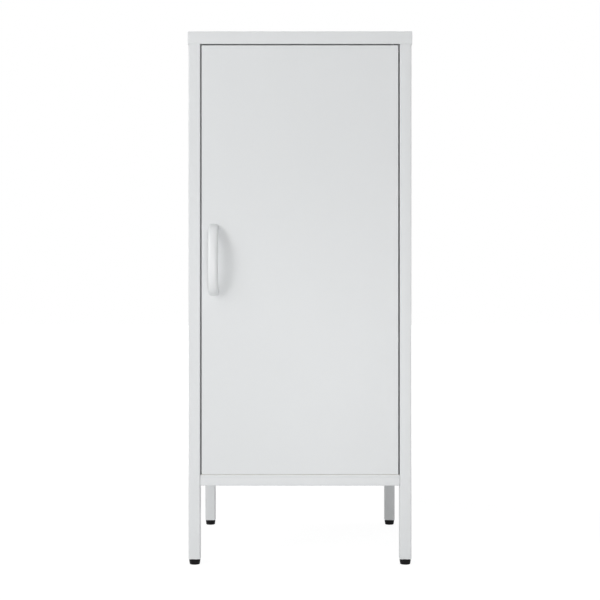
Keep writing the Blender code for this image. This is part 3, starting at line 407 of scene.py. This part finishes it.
def dress_solids():
    """Give every solid its finish and an even shading, and take the edge off the small hard ones."""
    tree = even_shading()
    for name, solid in NODES.items():
        for slot in solid.material_slots:
            slot.material = FINISHES[SLOT_OF[name]]
        solid.modifiers.new("even_shading", "NODES").node_group = tree
        if name.startswith(SOFT_NODES):
            soft = solid.modifiers.new("soft_edges", "BEVEL")
            soft.width = SOFT_EDGE
            soft.segments = SOFT_SEGMENTS
            soft.limit_method = "ANGLE"
            soft.angle_limit = SMOOTH_LIMIT
        solid.modifiers.new("flat_faces", "WEIGHTED_NORMAL").keep_sharp = True


def mesh_from(name, bm, limit=FINE_LIMIT):
    """A mesh from a bmesh, smooth up to a limit between its faces."""
    mesh = bpy.data.meshes.new(name)
    bmesh.ops.recalc_face_normals(bm, faces=bm.faces)
    bm.to_mesh(mesh)
    bm.free()
    mesh.shade_smooth()
    mesh.set_sharp_from_angle(angle=limit)
    return mesh


def piece(name, mesh, slot, body, place=(0.0, 0.0, 0.0), turn=(0.0, 0.0, 0.0), replaced=()):
    """A piece of the object: it has a finish, rides on a body and may stand for solids."""
    thing = bpy.data.objects.new(name, mesh)
    bpy.context.scene.collection.objects.link(thing)
    if not mesh.materials:
        mesh.materials.append(FINISHES[slot])
    thing.location = place
    thing.rotation_euler = turn
    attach(thing, body)
    if replaced:
        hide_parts(*replaced)
    return thing


def fine(node, mesh, place, turn=(0.0, 0.0, 0.0)):
    """A finer piece that stands for one solid."""
    return piece(node + "_fine", mesh, SLOT_OF[node], BODY_OF[node], place, turn, (node,))


def add_skin(bm, rings, closed=False):
    """Add a surface over rings of points, with flat ends or, where closed, back to the first ring."""
    loops = [[bm.verts.new(point) for point in ring] for ring in rings]
    pairs = list(zip(loops, loops[1:]))
    if closed:
        pairs.append((loops[-1], loops[0]))
    else:
        bm.faces.new(loops[0])
        bm.faces.new(loops[-1])
    for first, second in pairs:
        for here in range(len(first)):
            after = (here + 1) % len(first)
            bm.faces.new((first[here], first[after], second[after], second[here]))


def skin(rings, closed=False):
    """A surface over rings of points."""
    bm = bmesh.new()
    add_skin(bm, rings, closed)
    return bm


def circle(radius, height, sides=ROUND_SIDES):
    """A ring of points about Z."""
    angles = [2 * math.pi * step / sides for step in range(sides)]
    return [(radius * math.cos(angle), radius * math.sin(angle), height) for angle in angles]


def rounded(profile, radius, closed=False):
    """A (radius, height) profile with its corners eased."""
    points = [Vector(point) for point in profile]
    smooth = []
    for here, corner in enumerate(points):
        if not closed and here in (0, len(points) - 1):
            smooth.append(corner)
            continue
        before = points[here - 1] - corner
        after = points[(here + 1) % len(points)] - corner
        start = corner + before.normalized() * min(radius, before.length * ROUND_SHARE)
        end = corner + after.normalized() * min(radius, after.length * ROUND_SHARE)
        for step in range(ROUND_STEPS + 1):
            share = step / ROUND_STEPS
            smooth.append(start.lerp(corner, share).lerp(corner.lerp(end, share), share))
    return smooth


def turned(profile, radius, closed=False):
    """A bmesh turned about Z from a profile with eased corners."""
    return skin([circle(across, height) for across, height in rounded(profile, radius, closed)], closed)


def thread_rings(radius, thread, low, high):
    """Rings of points up a rod with a helical thread that runs out at both ends."""
    pitch, depth = thread
    steps = round(abs(high - low) / pitch * THREAD_STEPS)
    rings = []
    for step in range(steps + 1):
        height = low + (high - low) * step / steps
        run_out = min(1.0, step / THREAD_STEPS, (steps - step) / THREAD_STEPS)
        ring = []
        for side in range(THREAD_SIDES):
            angle = 2 * math.pi * side / THREAD_SIDES
            phase = (height / pitch - side / THREAD_SIDES) % 1.0
            crest = (1 - abs(2 * phase - 1)) * run_out
            across = radius - depth * (1 - crest)
            ring.append((across * math.cos(angle), across * math.sin(angle), height))
        rings.append(ring)
    return rings


def middle_of(node):
    """Middle of a solid's box."""
    low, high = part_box(node)
    return (low + high) / 2


def handle_line(half_length, reach):
    """Points at even steps along the handle's centre line, (rise, reach)."""
    dense = []
    for step in range(HANDLE_SAMPLES + 1):
        turn = math.pi * step / HANDLE_SAMPLES
        rise = -half_length * signed_power(math.cos(turn), 2 / HANDLE_BOW_POWER)
        out = reach * max(math.sin(turn), 0.0) ** (2 / HANDLE_BOW_POWER)
        dense.append(Vector((rise, out)))
    lengths = [0.0]
    for first, second in zip(dense, dense[1:]):
        lengths.append(lengths[-1] + (second - first).length)
    points = []
    here = 0
    for step in range(HANDLE_STEPS + 1):
        target = lengths[-1] * step / HANDLE_STEPS
        while here < HANDLE_SAMPLES - 1 and lengths[here + 1] < target:
            here += 1
        span = lengths[here + 1] - lengths[here]
        points.append(dense[here].lerp(dense[here + 1], (target - lengths[here]) / span))
    return points


def build_handle():
    """The bow handle, whose section gets thicker and squarer towards its feet."""
    low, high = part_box("handle")
    door_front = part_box("door_panel")[0].y
    reach = door_front - low.y - HANDLE_GRIP_THICKNESS / 2
    half_length = (high.z - low.z - HANDLE_FOOT_THICKNESS) / 2
    half_width = (high.x - low.x) / 2
    line = handle_line(half_length, reach)
    rings = []
    for step, point in enumerate(line):
        along = (line[min(step + 1, HANDLE_STEPS)] - line[max(step - 1, 0)]).normalized()
        if step in (0, HANDLE_STEPS):
            along = Vector((0.0, 1.0 if step == 0 else -1.0))
        outward = Vector((-along.y, along.x))
        share = point.y / reach
        thickness = HANDLE_FOOT_THICKNESS + (HANDLE_GRIP_THICKNESS - HANDLE_FOOT_THICKNESS) * share
        power = HANDLE_FOOT_POWER + (HANDLE_GRIP_POWER - HANDLE_FOOT_POWER) * share
        section = []
        for side in range(HANDLE_SIDES):
            angle = 2 * math.pi * side / HANDLE_SIDES
            across = half_width * signed_power(math.cos(angle), 2 / power)
            through = signed_power(math.sin(angle), 2 / power)
            through *= thickness - HANDLE_BACK if through > 0 else HANDLE_BACK
            spot = point + outward * (through + HANDLE_BACK - thickness / 2)
            section.append((across, -spot.y, spot.x))
        rings.append(section)
    middle = ((low.x + high.x) / 2, door_front, (low.z + high.z) / 2)
    mesh = mesh_from("handle_fine", skin(rings))
    # The lighter coat is painted light for the handle's lit side.
    mesh.materials.append(HANDLE_PAINTED_LIGHT_FINISH)
    fine("handle", mesh, middle)


def build_feet():
    """Tapered glides with eased edges, on threaded studs."""
    low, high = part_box("foot_pad_front_left")
    radius = (high.x - low.x) / 2
    top = high.z - low.z
    stud_low, stud_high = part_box("foot_stud_front_left")
    stud_radius = (stud_high.x - stud_low.x) / 2
    bore = stud_radius + STUD_CLEARANCE
    profile = [
        (FOOT_BASE_RADIUS - FOOT_EDGE, 0.0),
        (FOOT_BASE_RADIUS, FOOT_EDGE / 2),
        (radius, top - FOOT_RIM),
        (radius, top),
        (bore, top),
        (bore, FOOT_FLOOR),
    ]
    glide = mesh_from("foot_glide", turned(profile, FOOT_ROUND))
    stud_length = stud_high.z - stud_low.z
    rod = mesh_from("foot_thread", skin(thread_rings(stud_radius, STUD_THREAD, 0.0, stud_length)))
    for corner in CORNERS:
        for node, mesh in (("foot_pad_" + corner, glide), ("foot_stud_" + corner, rod)):
            middle = middle_of(node)
            fine(node, mesh, (middle.x, middle.y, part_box(node)[0].z))


def cross_cutter(radius, head):
    """Two tapered wedges that cross, to press a screw's drive."""
    bm = bmesh.new()
    half = radius * CROSS_LENGTH
    width = radius * CROSS_WIDTH
    for turn in (0.0, math.pi / 2):
        spin = Matrix.Rotation(turn, 4, "Z")
        rings = []
        deepest = -head * (1 - CROSS_DEPTH)
        for scale, height in ((1.0, -head * CROSS_CLEAR), (1.0, -head), (CROSS_TAPER, deepest)):
            along = half * scale
            across = width * (0.5 + scale / 2)
            corners = ((along, across), (-along, across), (-along, -across), (along, -across))
            rings.append([spin @ Vector((x, y, height)) for x, y in corners])
        add_skin(bm, rings)
    return mesh_from("cross_cutter", bm)


def screw_mesh(kind, radius, head, length):
    """A threaded pan-head screw with a crossed drive, which points up +Z from the underside of its head."""
    shank = SCREW_SHANKS[kind]
    rings = []
    for step in range(HEAD_STEPS + 1):
        angle = math.pi / 2 * (1 - step / HEAD_STEPS)
        across = max(radius * math.cos(angle) ** HEAD_CURVE, radius * HEAD_CROWN)
        rings.append(circle(across, -head * (HEAD_RIM + (1 - HEAD_RIM) * math.sin(angle)), THREAD_SIDES))
    rings.append(circle(radius, 0.0, THREAD_SIDES))
    rings += thread_rings(shank, SCREW_THREAD, 0.0, length)
    solid = bpy.data.objects.new(kind, mesh_from(kind, skin(rings)))
    cutter = bpy.data.objects.new("cross_cutter", cross_cutter(radius, head))
    for thing in (solid, cutter):
        bpy.context.scene.collection.objects.link(thing)
    press = solid.modifiers.new("cross", "BOOLEAN")
    press.object = cutter
    press.solver = "EXACT"
    press.use_self = True
    graph = bpy.context.evaluated_depsgraph_get()
    mesh = bpy.data.meshes.new_from_object(solid.evaluated_get(graph))
    mesh.name = kind + "_mesh"
    mesh.materials.clear()
    mesh.shade_smooth()
    mesh.set_sharp_from_angle(angle=FINE_LIMIT)
    for thing in (solid, cutter):
        data = thing.data
        bpy.data.objects.remove(thing, do_unlink=True)
        bpy.data.meshes.remove(data)
    return mesh


def build_screws():
    """Screws with drives and threads: up into the floor's lips, and forward into the handle and the catch."""
    forward = (math.radians(90), 0.0, 0.0)
    groups = (
        ("floor_screw", CORNERS, (0.0, 0.0, 0.0)),
        ("handle_screw", ("lower", "upper"), forward),
        ("catch_screw", ("left", "right"), forward),
    )
    for kind, labels, turn in groups:
        head = SCREW_HEADS[kind]
        upright = turn != forward
        low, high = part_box(kind + "_" + labels[0])
        total = high.z - low.z if upright else high.y - low.y
        mesh = screw_mesh(kind, (high.x - low.x) / 2, head, total - head)
        for label in labels:
            node = kind + "_" + label
            low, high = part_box(node)
            middle = (low + high) / 2
            if upright:
                place = (middle.x, middle.y, low.z + head)
            else:
                place = (middle.x, high.y - head, middle.z)
            fine(node, mesh, place, turn)


def fine_turned(node, profile, axis, closed=False):
    """A finer piece turned about the door's axis, which stands for one solid."""
    fine(node, mesh_from(node + "_fine", turned(profile, TURNED_ROUND, closed)), axis)


def build_hinges():
    """Turned pins, bushes and washer on the door's axis."""
    middle = middle_of("hinge_pin_top")
    axis = (middle.x, middle.y, 0.0)
    low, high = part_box("hinge_pin_top")
    head = (high.x - low.x) / 2
    neck = high.z - PIN_HEAD
    pin = [
        (PIN_RADIUS / 2, low.z),
        (PIN_RADIUS, low.z),
        (PIN_RADIUS, neck),
        (head, neck),
        (head, high.z),
        (head / 2, high.z),
    ]
    fine_turned("hinge_pin_top", pin, axis)
    low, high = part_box("hinge_pin_bottom")
    neck = low.z + PIN_HEAD
    pin = [
        (head / 2, low.z),
        (head, low.z),
        (head, neck),
        (PIN_RADIUS, neck),
        (PIN_RADIUS, high.z),
        (PIN_RADIUS / 2, high.z),
    ]
    fine_turned("hinge_pin_bottom", pin, axis)
    low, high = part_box("hinge_washer")
    outer = (high.x - low.x) / 2
    washer = [(BUSH_BORE, low.z), (outer, low.z), (outer, high.z), (BUSH_BORE, high.z)]
    fine_turned("hinge_washer", washer, axis, True)
    low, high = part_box("hinge_bush_bottom")
    outer = (high.x - low.x) / 2
    flange = low.z + BUSH_FLANGE
    bush = [
        (BUSH_BORE, low.z),
        (outer, low.z),
        (outer, flange),
        (BUSH_RADIUS, flange),
        (BUSH_RADIUS, high.z),
        (BUSH_BORE, high.z),
    ]
    fine_turned("hinge_bush_bottom", bush, axis, True)
    low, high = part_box("hinge_bush_top")
    barrel = low.z + BUSH_BARREL
    seat = barrel + BUSH_FLANGE
    lip = seat + BUSH_SEAT
    bush = [
        (BUSH_BORE, low.z),
        (BUSH_RADIUS, low.z),
        (BUSH_RADIUS, barrel),
        (outer, barrel),
        (outer, seat),
        (BUSH_RADIUS, seat),
        (BUSH_RADIUS, lip),
        (BUSH_RADIUS + BUSH_LIP, lip),
        (BUSH_RADIUS, lip + BUSH_LIP_HEIGHT),
        (BUSH_BORE, lip + BUSH_LIP_HEIGHT),
    ]
    fine_turned("hinge_bush_top", bush, axis, True)


def build_bumpers():
    """Rubber buttons with a domed face, on the door stop."""
    low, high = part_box("door_bumper_lower")
    radius = (high.x - low.x) / 2
    thick = high.y - low.y
    profile = [(radius, 0.0), (radius, thick), (radius * BUMPER_FLAT, thick)]
    mesh = mesh_from("door_bumper", turned(profile, BUMPER_ROUND))
    for label in ("lower", "upper"):
        node = "door_bumper_" + label
        middle = middle_of(node)
        fine(node, mesh, (middle.x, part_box(node)[1].y, middle.z), (math.radians(90), 0.0, 0.0))


def build_strip():
    """A thin soft strip over the floor's hem, which closes the gap under the door."""
    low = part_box("floor_panel")[0]
    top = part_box("door_panel")[0].z - STRIP_CLEARANCE
    front = low.y - STRIP_SINK
    rear = low.y + STRIP_THICKNESS
    outline = [(front, top - STRIP_HEIGHT), (rear, top - STRIP_HEIGHT), (rear, top), (front, top)]
    section = rounded(outline, STRIP_ROUND, True)
    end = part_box("post_front_right")[0].x - STRIP_END
    rings = [[(x, y, z) for y, z in section] for x in (-end, end)]
    piece("sill_strip", mesh_from("sill_strip", skin(rings)), "white_nylon", "cabinet")


def add_weld(bm, place, facing):
    """Add one spot weld: a shallow ring on a sheet that faces a direction."""
    turn = Vector((0.0, 0.0, 1.0)).rotation_difference(Vector(facing)).to_matrix()
    rings = [circle(WELD_RINGS[-1][0], WELD_ROOT, WELD_SIDES)]
    rings += [circle(radius, height, WELD_SIDES) for radius, height in reversed(WELD_RINGS)]
    add_skin(bm, [[turn @ Vector(point) + Vector(place) for point in ring] for ring in rings])


def weld_heights(low, high):
    """Even heights between two ends, about a weld pitch apart."""
    first = low + WELD_END
    last = high - WELD_END
    count = max(2, round((last - first) / WELD_PITCH) + 1)
    return [first + (last - first) * step / (count - 1) for step in range(count)]


def build_welds():
    """Spot welds of the stiffener on the door, of the door stop, and of the back panel's flanges."""
    low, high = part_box("door_stiffener")
    foot_rear = low.y + SHEET
    bm = bmesh.new()
    for side in (-1, 1):
        for height in weld_heights(low.z, high.z):
            add_weld(bm, (side * (high.x - STIFFENER_WELD_INSET), foot_rear, height), (0, 1, 0))
    piece("stiffener_welds", mesh_from("stiffener_welds", bm), "white_paint", BODY_OF["door_stiffener"])

    bm = bmesh.new()
    low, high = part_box("door_stop_strip")
    for height in weld_heights(low.z, high.z):
        add_weld(bm, (low.x + STOP_WELD_INSET, high.y, height), (0, 1, 0))
    piece("stop_welds", mesh_from("stop_welds", bm), "white_paint", "cabinet")

    low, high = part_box("back_panel")
    bm = bmesh.new()
    for side in (-1, 1):
        for height in weld_heights(low.z, high.z):
            add_weld(bm, (side * (high.x - SHEET), (low.y + high.y) / 2, height), (-side, 0, 0))
    piece("back_welds", mesh_from("back_welds", bm), "white_paint", "cabinet")


def seen_or_mirrored(tree):
    """A number that is 1 for rays that reach the eye straight, by a reflection or through glass."""
    path = tree.nodes.new("ShaderNodeLightPath")
    total = path.outputs["Is Camera Ray"]
    for name in ("Is Glossy Ray", "Is Transmission Ray"):
        either = tree.nodes.new("ShaderNodeMath")
        either.operation = "MAXIMUM"
        tree.links.new(total, either.inputs[0])
        tree.links.new(path.outputs[name], either.inputs[1])
        total = either.outputs["Value"]
    return total


def build_surround():
    """An even white surround: white where it is seen, and a plain level of light elsewhere."""
    world = bpy.data.worlds.new("surround")
    world.use_nodes = True
    bpy.context.scene.world = world
    tree = world.node_tree
    tree.nodes.clear()
    light = tree.nodes.new("ShaderNodeBackground")
    light.inputs["Strength"].default_value = SURROUND
    light.inputs["Color"].default_value = (1.0, 1.0, 1.0, 1.0)
    white = tree.nodes.new("ShaderNodeBackground")
    white.inputs["Color"].default_value = (1.0, 1.0, 1.0, 1.0)
    both = tree.nodes.new("ShaderNodeMixShader")
    tree.links.new(seen_or_mirrored(tree), both.inputs["Fac"])
    tree.links.new(light.outputs["Background"], both.inputs[1])
    tree.links.new(white.outputs["Background"], both.inputs[2])
    tree.links.new(both.outputs["Shader"], tree.nodes.new("ShaderNodeOutputWorld").inputs["Surface"])


def build_floor():
    """A plain pale floor that keeps the object's shadow under a white veil, which closes with distance."""
    bm = bmesh.new()
    bmesh.ops.create_grid(bm, x_segments=1, y_segments=1, size=FLOOR_SIZE / 2)
    mesh = bpy.data.meshes.new("floor")
    bm.to_mesh(mesh)
    bm.free()
    floor = bpy.data.objects.new("floor", mesh)
    bpy.context.scene.collection.objects.link(floor)
    material = bpy.data.materials.new("pale_floor")
    material.use_nodes = True
    tree = material.node_tree
    tree.nodes.clear()
    matt = tree.nodes.new("ShaderNodeBsdfDiffuse")
    matt.inputs["Color"].default_value = (*FLOOR_COLOUR, 1.0)
    glow = tree.nodes.new("ShaderNodeEmission")
    glow.inputs["Strength"].default_value = FLOOR_GLOW
    nearness = tree.nodes.new("ShaderNodeTexGradient")
    nearness.gradient_type = "SPHERICAL"
    scaled = tree.nodes.new("ShaderNodeMapping")
    scaled.inputs["Scale"].default_value = (1 / FLOOR_FADE, 1 / FLOOR_FADE, 1 / FLOOR_FADE)
    tree.links.new(tree.nodes.new("ShaderNodeTexCoord").outputs["Object"], scaled.inputs["Vector"])
    tree.links.new(scaled.outputs["Vector"], nearness.inputs["Vector"])
    thinner = tree.nodes.new("ShaderNodeMapRange")
    for socket, number in zip(MAP_SOCKETS, (0.0, FLOOR_NEAR, 1.0, FLOOR_VEIL)):
        thinner.inputs[socket].default_value = number
    tree.links.new(nearness.outputs["Fac"], thinner.inputs["Value"])
    veil = tree.nodes.new("ShaderNodeMath")
    veil.operation = "MULTIPLY"
    tree.links.new(seen_or_mirrored(tree), veil.inputs[0])
    tree.links.new(thinner.outputs["Result"], veil.inputs[1])
    both = tree.nodes.new("ShaderNodeMixShader")
    tree.links.new(veil.outputs["Value"], both.inputs["Fac"])
    tree.links.new(matt.outputs["BSDF"], both.inputs[1])
    tree.links.new(glow.outputs["Emission"], both.inputs[2])
    tree.links.new(both.outputs["Shader"], tree.nodes.new("ShaderNodeOutputMaterial").inputs["Surface"])
    mesh.materials.append(material)


def add_lamp(name, place, size, power, spread):
    """A square soft lamp that faces the middle of the front."""
    data = bpy.data.lights.new(name, "AREA")
    data.shape = "SQUARE"
    data.size = size
    data.energy = power
    data.spread = math.radians(spread)
    lamp = bpy.data.objects.new(name, data)
    bpy.context.scene.collection.objects.link(lamp)
    lamp.location = place
    lamp.rotation_euler = (Vector(LAMP_AIM) - Vector(place)).to_track_quat("-Z", "Y").to_euler()


def build_lamps():
    """A key lamp that draws the handle's shadow, two that fill, and weak ones behind, right and above."""
    for lamp in LAMPS:
        add_lamp(*lamp)


def build_camera():
    """A level camera, square to the front."""
    data = bpy.data.cameras.new("camera")
    data.lens = LENS
    data.sensor_width = SENSOR
    camera = bpy.data.objects.new("camera", data)
    bpy.context.scene.collection.objects.link(camera)
    camera.location = (CAMERA_X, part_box("post_front_left")[0].y - CAMERA_DISTANCE, CAMERA_HEIGHT)
    camera.rotation_euler = (math.radians(90), 0.0, 0.0)
    bpy.context.scene.camera = camera


dress_solids()
build_handle()
build_feet()
build_screws()
build_hinges()
build_bumpers()
build_strip()
build_welds()
build_surround()
build_floor()
build_lamps()
build_camera()
bpy.context.scene.view_settings.view_transform = "Standard"
